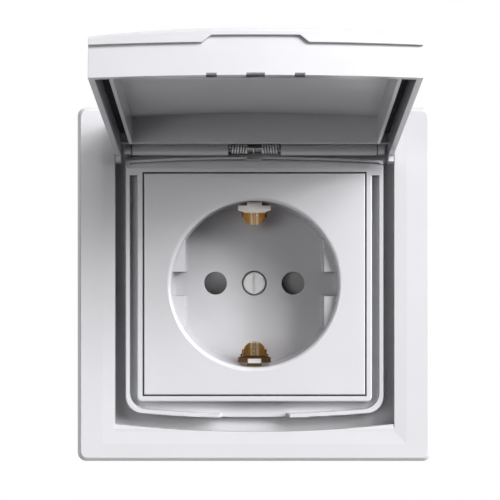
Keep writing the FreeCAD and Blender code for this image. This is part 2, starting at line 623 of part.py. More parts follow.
# ---------------------------------------------------------------- centre plate
cup_back = "($cup_depth-$plate_face)"
plate = box("plate_block", ("-$plate_half", "$plate_half"), ("-$plate_face", "-$plate_back"), ("-$plate_half", "$plate_half"))
plate = fillet("plate_soft", plate, "rib_soft", lambda p, t: abs(p.y + size("plate_face")) < 1e-3)
under = box(
    "plate_under", ("-$plate_half+$plate_skirt", "$plate_half-$plate_skirt"), ("-$plate_face+$plate_wall", "1"),
    ("-$plate_half+$plate_skirt", "$plate_half-$plate_skirt"),
)
cup = cyl("cup_out", "y", ("0", "0"), "$cup_r+$cup_wall", ("-$plate_face+$plate_wall/2", cup_back + "+$cup_floor"))
boss = cyl("cup_boss", "y", ("0", "0"), "$boss_r", (cup_back, "$boss_back"))
solid = fuse("plate_solid", cut("plate_tray", plate, under), cup, boss)
recess = cyl("recess", "y", ("0", "0"), "$cup_r", ("-$plate_face-5", cup_back))
guide = cut(
    "guides",
    common(
        "guide_ring",
        cyl("guide_disc", "y", ("0", "0"), "$cup_r+0.5", ("-$plate_face+$chord_drop", cup_back + "+0.2")),
        fuse(
            "guide_sides",
            box("guide_left", ("-$cup_r-2", "-$chord"), ("-30", "30"), ("-$cup_r", "$cup_r")),
            box("guide_right", ("$chord", "$cup_r+2"), ("-30", "30"), ("-$cup_r", "$cup_r")),
        ),
    ),
    box("guide_notch", ("-30", "30"), ("-30", "30"), ("-$side_notch", "$side_notch")),
)
carved = fuse("plate_carved", cut("plate_recessed", solid, recess), guide)
holes = [
    cyl("hole_left", "y", ("-$pin_pitch/2", "0"), "$hole_r", ("0", "30")),
    cyl("hole_right", "y", ("$pin_pitch/2", "0"), "$hole_r", ("0", "30")),
    cyl("hole_head", "y", ("0", "0"), "$head_hole_r", ("0", "$shelf_y")),
    cyl("hole_shank", "y", ("0", "0"), "$shank_hole_r", ("0", "30")),
    box("slot_top", ("-$clip_slot", "$clip_slot"), ("$clip_slot_y", "30"), ("$strap_z-$clip_slot_z", "$strap_z+$clip_slot_z")),
    box("slot_bottom", ("-$clip_slot", "$clip_slot"), ("$clip_slot_y", "30"), ("-$strap_z-$clip_slot_z", "-$strap_z+$clip_slot_z")),
]
# the slots are only as high as the strap's legs need, and the ears hide them from the front
plate = cut("plate_holed", carved, *holes)
mouth = -size("plate_face")
plate = fillet(
    "plate_mouth", plate, "cup_edge",
    lambda p, t: abs(p.y - mouth) < 1e-3 and math.hypot(p.x, p.z) < size("cup_r") + 0.5,
)
node(plate, "centre_plate")

# ---------------------------------------------------------------- plate screw
screw = doc.addObject("PartDesign::Body", "plate_screw_body")
outline = sketch_on(screw, "screw_outline", "XY_Plane", "0")
polygon(outline, [
    ("0", "$head_front"), ("$head_r-0.25", "$head_front"), ("$head_r", "$head_front+0.25"), ("$head_r", "$shelf_y-0.05"),
    ("$shank_r", "$shelf_y-0.05"), ("$shank_r", "$shank_end-0.6"), ("$shank_r-0.6", "$shank_end"), ("0", "$shank_end"),
])
revolve(screw, "screw_turned", outline, "V_Axis")
slot = sketch_on(screw, "screw_slot", "XZ_Plane", "-$head_front+1")
polygon(slot, [
    ("-$head_slot/2", "-$head_r"), ("$head_slot/2", "-$head_r"), ("$head_slot/2", "$head_r"), ("-$head_slot/2", "$head_r"),
])
pocket(screw, "screw_slotted", slot, "1+$head_slot_depth")
node(screw, "plate_screw")

# ---------------------------------------------------------------- earth strap with both clips
def strip_profile(sketch, sign):
    """The bent strip of one clip, in the plane through both clips; sign puts it above or below.
    Its front end is a flat face across the recess, then it slopes inwards to the contact and back out to the leg."""
    inner = [
        ("-4.8", "$clip_tip"), ("-5.4", "17.5"), ("-4.45", "16.75"), ("-0.6", "$dome_z-$dome_r+0.35"),
        ("0.9", "$dome_z-$dome_r"), ("2.6", "$dome_z-$dome_r+0.5"), ("6.6", "17.1"), ("8.4", "$strap_z-$strip/2"),
        ("$strap_y+$strip", "$strap_z-$strip/2"),
    ]
    outer = [
        ("-4.8+$strip", "$clip_tip"), ("-5.4+$strip", "17.85"), ("-3.95", "17.42"), ("-0.2", "$dome_z-$dome_r+1.02"),
        ("0.9", "$dome_z-$dome_r+$strip"), ("2.4", "$dome_z-$dome_r+0.5+$strip"), ("6.4", "17.9"), ("8.2", "$strap_z+$strip/2"),
        ("$strap_y+$strip", "$strap_z+$strip/2"),
    ]
    polygon(sketch, [(y, "%s*(%s)" % (sign, z)) for y, z in outer + inner[::-1]])


def ear_mask(side, sign):
    """What the clip keeps of the strip, seen from the front: a stem, two ears and a neck over the round contact."""
    made = doc.addObject("PartDesign::Body", "mask_ears_" + side)
    seen = sketch_on(made, "ears_" + side, "XZ_Plane", "-5.2")
    half = [("$stem_half", "25"), ("$stem_half", "$ear_high"), ("$ear_half", "$ear_high"), ("$ear_half", "$ear_low"), ("$ear_neck", "$ear_low-0.45"), ("$ear_neck", "$dome_z")]
    left = [("-" + x, z) for x, z in half[::-1]]
    polygon(seen, [(x, "%s*(%s)" % (sign, z)) for x, z in half + left])
    pad(made, "ears_deep_" + side, seen, "14.2")
    return made


clips = []
for side, sign in (("top", "1"), ("bottom", "-1")):
    strip = doc.addObject("PartDesign::Body", "strip_" + side)
    bent = sketch_on(strip, "bend_" + side, "YZ_Plane", "-$ear_half")
    strip_profile(bent, sign)
    pad(strip, "bent_" + side, bent, "2*$ear_half")
    mask = fuse(
        "mask_" + side,
        ear_mask(side, sign),
        cyl("mask_dome_" + side, "y", ("0", "%s*$dome_z" % sign), "$dome_r", ("-9", "5.3")),
        box("mask_leg_" + side, ("-$strap_half", "$strap_half"), ("5", "40"), ("-25", "25")),
    )
    clips.append(common("clip_" + side, strip, mask))
web = box("strap_web", ("-$strap_half", "$strap_half"), ("$strap_y", "$strap_y+$strip"), ("-$strap_z", "$strap_z"))
web_hole = cyl("strap_hole", "y", ("0", "0"), "$shank_r+0.6", ("0", "40"))
node(cut("strap_made", fuse("strap_solid", web, *clips), web_hole), "earth_strap")

# ---------------------------------------------------------------- support ring
ring_body = doc.addObject("PartDesign::Body", "support_ring_body")
outline = sketch_on(ring_body, "ring_outline", "XZ_Plane", "0")
c = "$sring_half-$sring_corner"
f = "$sring_half"
polygon(outline, [
    ("-(%s)" % c, "-(%s)" % f), (c, "-(%s)" % f), (f, "-(%s)" % c), (f, c),
    (c, f), ("-(%s)" % c, f), ("-(%s)" % f, c), ("-(%s)" % f, "-(%s)" % c),
])
pad(ring_body, "ring_plate", outline, "$sring_wall")
middle = sketch_on(ring_body, "ring_middle", "XZ_Plane", "$sring_wall+1")
disc(middle, "0", "0", "$sring_hole")
pocket(ring_body, "ring_bored", middle, "$sring_wall+2")
for side, sign in (("left", "-1"), ("right", "1")):
    run = sketch_on(ring_body, "slot_run_" + side, "XZ_Plane", "$sring_wall+1")
    a = "%s*$box_pitch/2-($slot_len/2-$slot_r)" % sign
    b = "%s*$box_pitch/2+($slot_len/2-$slot_r)" % sign
    polygon(run, [(a, "-$slot_r"), (b, "-$slot_r"), (b, "$slot_r"), (a, "$slot_r")])
    pocket(ring_body, "slot_cut_" + side, run, "$sring_wall+2")
    for end, centre in (("in", a), ("out", b)):
        tip = sketch_on(ring_body, "slot_%s_%s" % (side, end), "XZ_Plane", "$sring_wall+1")
        disc(tip, centre, "0", "$slot_r")
        pocket(ring_body, "slot_end_%s_%s" % (side, end), tip, "$sring_wall+2")
holes = sketch_on(ring_body, "ring_rivets", "XZ_Plane", "$sring_wall+1")
for across in ("-$post", "$post"):
    for up in ("-$post", "$post"):
        disc(holes, across, up, "$rivet_hole")
pocket(ring_body, "ring_riveted", holes, "$sring_wall+2")
node(ring_body, "support_ring")

rivets = []
for number, (sx, sz) in enumerate((("-", "-"), ("", "-"), ("-", ""), ("", "")), 1):
    at = (sx + "$post", sz + "$post")
    rivets.append(fuse(
        "rivet_%d" % number,
        cyl("rivet_head_%d" % number, "y", at, "$rivet_head", ("-$sring_wall-0.7", "-$sring_wall")),
        cyl("rivet_shank_%d" % number, "y", at, "$rivet_r", ("-$sring_wall-0.1", "8")),
    ))
node(group("rivets_made", *rivets), "rivets")

# ---------------------------------------------------------------- base and rear cover
base = common(
    "base_outer",
    box("base_block", ("-$base_half", "$base_half"), ("$base_front", "$base_back"), ("-$base_half", "$base_half")),
    cyl("base_disc", "y", ("0", "0"), "$base_r", ("$base_front", "$base_back")),
)
posts = []
for number, (sx, sz) in enumerate((("-", "-"), ("", "-"), ("-", ""), ("", "")), 1):
    posts.append(cyl("post_%d" % number, "y", (sx + "$post", sz + "$post"), "$post_r", ("0.05", "$base_front+1")))
cavities = [
    box("shutter_well", ("-$well_half", "$well_half"), ("$base_front-1", "$well_back"), ("-$well_low", "$well_top")),
    box("boss_room", ("-$boss_r-0.3", "$boss_r+0.3"), ("$base_front-1", "$boss_back+0.3"), ("-$boss_r-0.3", "$boss_r+0.3")),
    box("room_left_contact", ("-$term_x-$term_half-0.5", "-$pin_pitch/2+$cont_r+0.5"), ("$cont_front-0.3", "$base_back+1"), ("-$term_z-$term_half-0.5", "$cont_r+0.6")),
    box("room_right_contact", ("$pin_pitch/2-$cont_r-0.5", "$term_x+$term_half+0.5"), ("$cont_front-0.3", "$base_back+1"), ("-$term_z-$term_half-0.5", "$cont_r+0.6")),
    cyl("way_left", "y", ("-$pin_pitch/2", "0"), "$hole_r+0.2", ("$base_front", "30")),
    cyl("way_right", "y", ("$pin_pitch/2", "0"), "$hole_r+0.2", ("$base_front", "30")),
    box("strap_room", ("-$strap_half-0.3", "$strap_half+0.3"), ("$strap_y-0.3", "$base_back+1"), ("-$strap_z-1", "$strap_z+1")),
    box("leg_room_top", ("-$clip_slot", "$clip_slot"), ("$base_front-1", "$base_back+1"), ("$strap_z-0.8", "$strap_z+0.8")),
    box("leg_room_bottom", ("-$clip_slot", "$clip_slot"), ("$base_front-1", "$base_back+1"), ("-$strap_z-0.8", "-$strap_z+0.8")),
    box("pe_room", ("-$term_half-0.4", "$term_half+0.4"), ("$term_front-0.3", "$base_back+1"), ("$term_z-6.2", "$term_z+3.2")),
    cyl("thread_hole", "y", ("0", "0"), "$shank_r+0.08", ("0", "40")),
]
for number, (sx, sz) in enumerate((("-", "-"), ("", "-"), ("-", ""), ("", "")), 1):
    cavities.append(cyl("post_hole_%d" % number, "y", (sx + "$post", sz + "$post"), "$rivet_hole", ("-1", "8.4")))
node(cut("base_made", fuse("base_solid", base, *posts), *cavities), "socket_base")
cover = common(
    "cover_outer",
    box("cover_block", ("-$base_half", "$base_half"), ("$base_back+0.02", "$cover_back"), ("-$base_half", "$base_half")),
    cyl("cover_disc", "y", ("0", "0"), "$base_r", ("$base_back+0.02", "$cover_back")),
)
entries = [
    cyl("entry_%d" % number, "y", at, "1.7", ("20", "40"))
    for number, at in enumerate((("-$term_x-1.6", "-$term_z"), ("-$term_x+1.9", "-$term_z"), ("$term_x-1.9", "-$term_z"), ("$term_x+1.6", "-$term_z")), 1)
]
node(cut("cover_made", cover, *entries), "rear_cover")

# ---------------------------------------------------------------- shutter
slider = doc.addObject("PartDesign::Body", "shutter_body")
side_view = sketch_on(slider, "shutter_side", "YZ_Plane", "-$shut_half")
polygon(side_view, [
    ("$shut_front", "$shut_rise"), ("$shut_back-0.8", "-$shut_low"), ("$shut_back", "-$shut_low"),
    ("$shut_back", "$shut_top"), ("$shut_front", "$shut_top"),
])
pad(slider, "shutter_block", side_view, "2*$shut_half")
arch = sketch_on(slider, "shutter_arch", "XZ_Plane", "-$shut_front+1")
polygon(arch, [
    ("-$shut_arch", "-$shut_low-1"), ("$shut_arch", "-$shut_low-1"), ("$shut_arch", "$shut_arch"), ("-$shut_arch", "$shut_arch"),
])
pocket(slider, "shutter_arched", arch, "$shut_back-$shut_front+2")
for side, a in (("left", "-$shut_half+2.2"), ("right", "$shut_half-7.2")):
    pit = sketch_on(slider, "spring_pit_sketch_" + side, "XY_Plane", "$shut_top+1")
    disc(pit, a + "+2.5", "($shut_front+$shut_back)/2", "1.6")
    pocket(slider, "spring_pit_" + side, pit, "3.2")
node(slider, "shutter")
springs = []
for side, at in (("left", "-$shut_half+4.7"), ("right", "$shut_half-4.7")):
    tube = cut(
        "shutter_coil_" + side,
        cyl("shutter_coil_out_" + side, "z", (at, "($shut_front+$shut_back)/2"), "1.35", ("$shut_top-2.1", "$well_top-0.1")),
        cyl("shutter_coil_in_" + side, "z", (at, "($shut_front+$shut_back)/2"), "1.0", ("$shut_top-4", "$well_top+2")),
    )
    springs.append(tube)
node(group("shutter_springs_made", *springs), "shutter_springs")

# ---------------------------------------------------------------- contacts, terminals and their screws
def contact(side, sign):
    """A forked sleeve behind the pin hole with a tail to its terminal."""
    at = "%s*$pin_pitch/2" % sign
    sleeve = cyl("sleeve_" + side, "y", (at, "0"), "$cont_r", ("$cont_front", "$cont_back"))
    hole = cyl("sleeve_hole_" + side, "y", (at, "0"), "$cont_in", ("$cont_front-1", "$cont_back-0.8"))
    slit = box("sleeve_slit_" + side, (at + "-5", at + "+5"), ("$cont_front-1", "$cont_back-2.4"), ("-0.5", "0.5"))
    x_low, x_high = ("$term_x-2", "$term_x+2") if sign == "1" else ("-$term_x-2", "-$term_x+2")
    reach = ("$pin_pitch/2-1", "$term_x+2") if sign == "1" else ("-$term_x-2", "-$pin_pitch/2+1")
    tail = box("tail_" + side, (x_low, x_high), ("$cont_back-0.8", "$cont_back"), ("-$term_z-1.5", "-2.4"))
    cross = box("cross_" + side, reach, ("$cont_back-0.8", "$cont_back"), ("-3.2", "1.5"))
    return fuse("contact_" + side, cut("fork_" + side, sleeve, hole, slit), tail, cross)


def terminal(name, at, z, y_front, y_back, half, thread):
    block = box(name + "_block", (at + "-" + half, at + "+" + half), (y_front, y_back), (z + "-" + half, z + "+" + half))
    wire = cyl(name + "_wire", "y", (at, z), "1.9", (y_front + "-1", y_back + "+1"))
    hole = cyl(name + "_thread", "z", (at, "(%s+%s)/2" % (y_front, y_back)), thread, (z + "-" + half + "-1", z))
    return cut(name, block, wire, hole)


for side, sign in (("left", "-1"), ("right", "1")):
    node(contact(side, sign), "pin_contact_" + side)
screw_list = []
for side, sign in (("left", "-1"), ("right", "1")):
    at = "%s*$term_x" % sign
    made = terminal("terminal_cage_" + side, at, "-$term_z", "$term_front", "$cont_back-0.9", "$term_half", "$tscrew_r+0.05")
    node(made, "terminal_" + side)
    screw_list.append(cyl(
        "tscrew_" + side, "z", (at, "($term_front+$cont_back-0.9)/2"), "$tscrew_r", ("-$term_z-$term_half-0.3", "-$term_z-2.0"),
    ))
pe = terminal("terminal_cage_pe", "0", "$term_z-1.4", "$term_front", "$strap_y-0.1", "$term_half", "$tscrew_r+0.05")
node(pe, "terminal_earth")
screw_list.append(cyl("tscrew_pe", "z", ("0", "($term_front+$strap_y-0.1)/2"), "$tscrew_r", ("$term_z-1.4-$term_half-0.3", "$term_z-2.6")))
node(group("terminal_screws_made", *screw_list), "terminal_screws")

# ---------------------------------------------------------------- gaskets
node(cut(
    "frame_gasket_made",
    box("frame_gasket_out", ("-$gasket_out", "$gasket_out"), ("-$gasket_h", "0"), ("-$gasket_out", "$gasket_out")),
    box("frame_gasket_in", ("-$gasket_in", "$gasket_in"), ("-9", "9"), ("-$gasket_in", "$gasket_in")),
), "frame_gasket")
node(cut(
    "carrier_gasket_made",
    box("carrier_gasket_out", ("-$seat_out", "$seat_out"), ("-$carrier_back", "-$sring_wall"), ("-$seat_out", "$seat_out")),
    box("carrier_gasket_in", ("-$seat_in", "$seat_in"), ("-9", "9"), ("-$seat_in", "$seat_in")),
    box("gasket_room_left", ("-$seat_out+0.6", "-$seat_in-0.5"), ("-9", "9"), ("-$screw_half", "$screw_half")),
    box("gasket_room_right", ("$seat_in+0.5", "$seat_out-0.6"), ("-9", "9"), ("-$screw_half", "$screw_half")),
), "carrier_gasket")

# ---------------------------------------------------------------- checks and files
doc.recompute()
bad = [o.Name for o in doc.Objects if {"Invalid", "Error"} & set(o.State)]
if bad:
    raise RuntimeError("failed objects: " + ", ".join(bad))
os.makedirs("parts", exist_ok=True)
for made in nodes:
    shape = made.Shape
    if shape.isNull() or not shape.isValid() or not shape.Solids:
        raise RuntimeError(made.Label + " has no valid solid")
    print("%-20s solids %d volume %.1f box %s" % (
        made.Label, len(shape.Solids), shape.Volume,
        " ".join("%.2f" % v for v in (shape.BoundBox.XMin, shape.BoundBox.XMax, shape.BoundBox.YMin, shape.BoundBox.YMax, shape.BoundBox.ZMin, shape.BoundBox.ZMax)),
    ))
for made in nodes:
    made.Shape.exportStep("parts/" + made.Label + ".step")
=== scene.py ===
import bpy, bmesh, math
from mathutils import Matrix, Vector


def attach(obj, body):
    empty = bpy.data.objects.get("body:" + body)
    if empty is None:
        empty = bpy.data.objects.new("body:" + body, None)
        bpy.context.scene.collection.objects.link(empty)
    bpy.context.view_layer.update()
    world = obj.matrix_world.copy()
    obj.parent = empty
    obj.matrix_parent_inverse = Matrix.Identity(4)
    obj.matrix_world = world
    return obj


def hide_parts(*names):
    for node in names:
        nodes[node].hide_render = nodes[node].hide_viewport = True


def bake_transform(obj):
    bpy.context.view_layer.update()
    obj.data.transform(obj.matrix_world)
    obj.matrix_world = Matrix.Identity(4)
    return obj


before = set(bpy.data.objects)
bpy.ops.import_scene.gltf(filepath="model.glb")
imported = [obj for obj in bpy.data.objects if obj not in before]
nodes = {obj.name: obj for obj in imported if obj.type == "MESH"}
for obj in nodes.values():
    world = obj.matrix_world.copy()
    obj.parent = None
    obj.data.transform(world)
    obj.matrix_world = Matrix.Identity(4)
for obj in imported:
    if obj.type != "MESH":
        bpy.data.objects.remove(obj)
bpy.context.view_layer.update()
MM = 0.001

# sizes of the hinge and its spring coils, in millimetres, as in the construction
HINGE = Vector((0.0, -10.2, 31.5))
COIL_IN, COIL_OUT = 1.7, 5.8


# ------------------------------------------------------------------ node helpers
def material(name):
    made = bpy.data.materials.new(name)
    made.use_nodes = True
    return made, made.node_tree.nodes, made.node_tree.links, made.node_tree.nodes["Principled BSDF"]


def coords(ns, ls, stretch=(1, 1, 1)):
    at = ns.new("ShaderNodeTexCoord")
    if stretch == (1, 1, 1):
        return at.outputs["Object"]
    turn = ns.new("ShaderNodeMapping")
    turn.inputs["Scale"].default_value = stretch
    ls.new(at.outputs["Object"], turn.inputs["Vector"])
    return turn.outputs["Vector"]


def noise(ns, ls, scale, detail=3.0, rough=0.5, stretch=(1, 1, 1)):
    made = ns.new("ShaderNodeTexNoise")
    made.inputs["Scale"].default_value = scale
    made.inputs["Detail"].default_value = detail
    made.inputs["Roughness"].default_value = rough
    ls.new(coords(ns, ls, stretch), made.inputs["Vector"])
    return made.outputs["Fac"]


def spread(ns, ls, value, low, high, from_low=0.3, from_high=0.7):
    made = ns.new("ShaderNodeMapRange")
    made.inputs["From Min"].default_value = from_low
    made.inputs["From Max"].default_value = from_high
    made.inputs["To Min"].default_value = low
    made.inputs["To Max"].default_value = high
    ls.new(value, made.inputs["Value"])
    return made.outputs["Result"]


def tint(ns, ls, value, low, high):
    made = ns.new("ShaderNodeValToRGB")
    made.color_ramp.elements[0].position = 0.3
    made.color_ramp.elements[1].position = 0.7
    made.color_ramp.elements[0].color = (*low, 1)
    made.color_ramp.elements[1].color = (*high, 1)
    ls.new(value, made.inputs["Fac"])
    return made.outputs["Color"]


def bumps(ns, ls, value, distance, strength, soft=None):
    made = ns.new("ShaderNodeBump")
    made.inputs["Distance"].default_value = distance
    made.inputs["Strength"].default_value = strength
    ls.new(value, made.inputs["Height"])
    if soft:
        edge = ns.new("ShaderNodeBevel")
        edge.samples = 4
        edge.inputs["Radius"].default_value = soft
        ls.new(edge.outputs["Normal"], made.inputs["Normal"])
    return made.outputs["Normal"]


def moulded(name, low, high, rough, soft=0.00018, coat=0.0, grain=2600.0, depth=0.000004):
    """Moulded plastic: a faint flow pattern in the tone, a fine skin and softened edges."""
    made, ns, ls, out = material(name)
    flow = noise(ns, ls, 38.0, 4.0, 0.55)
    ls.new(tint(ns, ls, flow, low, high), out.inputs["Base Color"])
    skin = noise(ns, ls, grain, 2.0, 0.5)
    ls.new(spread(ns, ls, noise(ns, ls, 160.0, 3.0), rough * 0.9, rough * 1.12), out.inputs["Roughness"])
    ls.new(bumps(ns, ls, skin, depth, 0.35, soft), out.inputs["Normal"])
    out.inputs["IOR"].default_value = 1.5
    if coat:
        out.inputs["Coat Weight"].default_value = coat
        out.inputs["Coat Roughness"].default_value = 0.06
    return made


def metal(name, low, high, rough, stretch=(1, 1, 1), grain=900.0, depth=0.000006, soft=None, shine=1.0):
    """Rolled or drawn metal: a tone that drifts, and lines along the way it was worked."""
    made, ns, ls, out = material(name)
    ls.new(tint(ns, ls, noise(ns, ls, 210.0, 4.0, 0.6), low, high), out.inputs["Base Color"])
    lines = noise(ns, ls, grain, 3.0, 0.6, stretch)
    ls.new(spread(ns, ls, lines, rough * 0.75, rough * 1.3), out.inputs["Roughness"])
    ls.new(bumps(ns, ls, lines, depth, 0.4, soft), out.inputs["Normal"])
    out.inputs["Metallic"].default_value = shine
    return made


white = moulded("gloss_white", (0.55, 0.55, 0.57), (0.575, 0.575, 0.596), 0.24, coat=0.25)
seal_black = moulded("seal_black", (0.007, 0.007, 0.0075), (0.012, 0.012, 0.013), 0.7, soft=None, grain=3200.0, depth=0.00001)
foam = moulded("foam_grey", (0.05, 0.05, 0.053), (0.085, 0.085, 0.09), 0.85, soft=None, grain=1500.0, depth=0.00012)
base_dark = moulded("base_thermoset", (0.028, 0.028, 0.031), (0.045, 0.045, 0.049), 0.42, soft=0.00015, grain=1800.0, depth=0.000012)
shutter_grey = moulded("shutter_grey", (0.52, 0.52, 0.53), (0.57, 0.57, 0.58), 0.4, soft=0.00012, grain=1900.0, depth=0.00001)
steel = metal("spring_steel", (0.93, 0.93, 0.92), (0.98, 0.975, 0.965), 0.3, stretch=(6, 1, 1), depth=0.000001, shine=0.2)
pin_steel = metal("pin_steel", (0.17, 0.17, 0.17), (0.23, 0.23, 0.225), 0.35, stretch=(6, 1, 1), depth=0.000001, shine=0.6)
zinc = metal("zinc_plated", (0.77, 0.775, 0.78), (0.87, 0.87, 0.87), 0.4, grain=1600.0, depth=0.0000012, soft=0.00008, shine=0.65)
brass = metal("spring_brass", (0.66, 0.36, 0.1), (0.8, 0.48, 0.17), 0.3, stretch=(3, 1, 1), grain=260.0, depth=0.0000006, soft=0.00015, shine=0.85)
brass_block = metal("machined_brass", (0.58, 0.4, 0.16), (0.7, 0.5, 0.22), 0.36, stretch=(1, 6, 1), grain=800.0, soft=0.00012)


def brass_painted_light_material():
    """Spring brass with painted light: a painted highlight in bright stripes near the middle of its width and
    painted shade darker towards its edges.
    """
    made, ns, ls, out = material("clip_brass")
    where = ns.new("ShaderNodeSeparateXYZ")
    ls.new(coords(ns, ls), where.inputs["Vector"])
    across = ns.new("ShaderNodeMath")
    across.operation = "ABSOLUTE"
    ls.new(where.outputs["X"], across.inputs[0])
    wander = ns.new("ShaderNodeMath")
    wander.operation = "MULTIPLY_ADD"
    wander.inputs[1].default_value = 0.0004
    wander.inputs[2].default_value = -0.0002
    ls.new(noise(ns, ls, 500.0, 3.0, 0.6, (1, 0.3, 0.3)), wander.inputs[0])
    place = ns.new("ShaderNodeMath")
    place.operation = "ADD"
    ls.new(across.outputs[0], place.inputs[0])
    ls.new(wander.outputs[0], place.inputs[1])
    # painted highlight and painted shade across the clip's width, for the light on its rounded nose
    ramp = ns.new("ShaderNodeValToRGB")
    stops = ramp.color_ramp.elements
    stops[0].position, stops[0].color = 0.0, (0.78, 0.62, 0.38, 1)
    stops[1].position, stops[1].color = 1.0, (0.42, 0.19, 0.035, 1)
    for at, tone in ((0.13, (0.6, 0.4, 0.16, 1)), (0.2, (0.95, 0.86, 0.68, 1)), (0.32, (0.9, 0.76, 0.5, 1)), (0.42, (0.62, 0.36, 0.09, 1)), (0.7, (0.5, 0.24, 0.05, 1))):
        made_stop = stops.new(at)
        made_stop.color = tone
    ls.new(spread(ns, ls, place.outputs[0], 0.0, 1.0, 0.0, 0.0026), ramp.inputs["Fac"])
    # the flat front end of the upper clip is finely brushed and carries a painted highlight, that of the lower one
    # a painted dark reflection
    side = spread(ns, ls, where.outputs["Z"], 0.0, 1.0, -0.001, 0.001)
    ends = ns.new("ShaderNodeMix")
    ends.data_type = "RGBA"
    ls.new(side, ends.inputs[0])
    # a painted highlight across the middle of the lower stem
    painted_stem_highlight = spread(ns, ls, where.outputs["Z"], 0.0, 1.0, -0.01875, -0.01855)
    for edge in (spread(ns, ls, where.outputs["Z"], 1.0, 0.0, -0.0177, -0.0175), spread(ns, ls, place.outputs[0], 1.0, 0.0, 0.0014, 0.0017)):
        both = ns.new("ShaderNodeMath")
        both.operation = "MULTIPLY"
        ls.new(painted_stem_highlight, both.inputs[0])
        ls.new(edge, both.inputs[1])
        painted_stem_highlight = both.outputs[0]
    lower = ns.new("ShaderNodeMix")
    lower.data_type = "RGBA"
    ls.new(painted_stem_highlight, lower.inputs[0])
    # painted dark reflection: dark brown on the lower clip's front end
    ls.new(tint(ns, ls, noise(ns, ls, 300.0), (0.09, 0.05, 0.025), (0.16, 0.09, 0.04)), lower.inputs[6])
    # painted highlight tone for the middle of the lower stem
    ls.new(tint(ns, ls, noise(ns, ls, 300.0), (0.95, 0.93, 0.88), (0.98, 0.96, 0.92)), lower.inputs[7])
    ls.new(lower.outputs[2], ends.inputs[6])
    # painted highlight: pale tone on the upper clip's front end
    ls.new(tint(ns, ls, noise(ns, ls, 300.0), (0.93, 0.9, 0.84), (0.97, 0.95, 0.9)), ends.inputs[7])
    front = spread(ns, ls, where.outputs["Y"], 1.0, 0.0, -0.0047, -0.0043)
    mixed = ns.new("ShaderNodeMix")
    mixed.data_type = "RGBA"
    ls.new(front, mixed.inputs[0])
    ls.new(ramp.outputs["Color"], mixed.inputs[6])
    ls.new(ends.outputs[2], mixed.inputs[7])
    ls.new(mixed.outputs[2], out.inputs["Base Color"])
    brushed = ns.new("ShaderNodeMix")
    ls.new(front, brushed.inputs[0])
    ls.new(spread(ns, ls, noise(ns, ls, 700.0, 3.0, 0.6, (3, 1, 1)), 0.2, 0.28), brushed.inputs[2])
    ls.new(spread(ns, ls, noise(ns, ls, 500.0, 3.0, 0.6, (3, 1, 1)), 0.42, 0.5), brushed.inputs[3])
    ls.new(brushed.outputs[0], out.inputs["Roughness"])
    ls.new(bumps(ns, ls, noise(ns, ls, 260.0, 3.0, 0.6, (3, 1, 1)), 0.0000002, 0.3, 0.00025), out.inputs["Normal"])
    out.inputs["Metallic"].default_value = 0.9
    return made


clip_brass = brass_painted_light_material()


def zinc_sheet_material():
    """Zinc-plated sheet with faint crystals."""
    made, ns, ls, out = material("zinc_sheet")
    cells = ns.new("ShaderNodeTexVoronoi")
    cells.inputs["Scale"].default_value = 420.0
    ls.new(coords(ns, ls), cells.inputs["Vector"])
    ls.new(tint(ns, ls, cells.outputs["Color"], (0.5, 0.52, 0.55), (0.68, 0.7, 0.72)), out.inputs["Base Color"])
    ls.new(spread(ns, ls, noise(ns, ls, 900.0), 0.3, 0.46), out.inputs["Roughness"])
    ls.new(bumps(ns, ls, noise(ns, ls, 1400.0), 0.000006, 0.4, 0.0001), out.inputs["Normal"])
    out.inputs["Metallic"].default_value = 1.0
    return made


zinc_sheet = zinc_sheet_material()
FINISH = {
    "frame": white, "hinge_carrier": white, "lid": white, "centre_plate": white,
    "lid_seal": seal_black, "carrier_gasket": seal_black, "frame_gasket": foam,
    "hinge_pin": pin_steel, "plate_screw": zinc, "rivets": zinc, "terminal_screws": zinc,
    "support_ring": zinc_sheet, "earth_strap": clip_brass, "pin_contact_left": brass, "pin_contact_right": brass,
    "terminal_left": brass_block, "terminal_right": brass_block, "terminal_earth": brass_block,
    "socket_base": base_dark, "rear_cover": base_dark, "shutter": shutter_grey,
}
seal_black.node_tree.nodes["Principled BSDF"].inputs["Specular IOR Level"].default_value = 0.15
for name, finish in FINISH.items():
    slots = nodes[name].data.materials
    slots.clear()
    slots.append(finish)


# ------------------------------------------------------------------ mesh helpers
def wire(name, points, radius, around=10, finish=steel, caps=True):
    """A round wire swept along points in millimetres."""
    mesh = bpy.data.meshes.new(name)
    bm = bmesh.new()
    points = [Vector(p) for p in points]
    rings = []
    normal = None
    for i, p in enumerate(points):
        ahead = points[min(i + 1, len(points) - 1)] - points[max(i - 1, 0)]
        ahead.normalize()
        if normal is None:
            normal = ahead.orthogonal().normalized()
        normal = (normal - ahead * normal.dot(ahead)).normalized()
        side = ahead.cross(normal)
        rings.append([
            bm.verts.new((p + (normal * math.cos(a) + side * math.sin(a)) * radius) * MM)
            for a in (2 * math.pi * k / around for k in range(around))
        ])
    for one, two in zip(rings, rings[1:]):
        for k in range(around):
            bm.faces.new((one[k], one[(k + 1) % around], two[(k + 1) % around], two[k]))
    if caps:
        bm.faces.new(rings[0][::-1])
        bm.faces.new(rings[-1])
    bmesh.ops.recalc_face_normals(bm, faces=bm.faces)
    bm.to_mesh(mesh)
    bm.free()
    for face in mesh.polygons:
        face.use_smooth = len(face.vertices) == 4
    made = bpy.data.objects.new(name, mesh)
    bpy.context.scene.collection.objects.link(made)
    mesh.materials.append(finish)
    return made


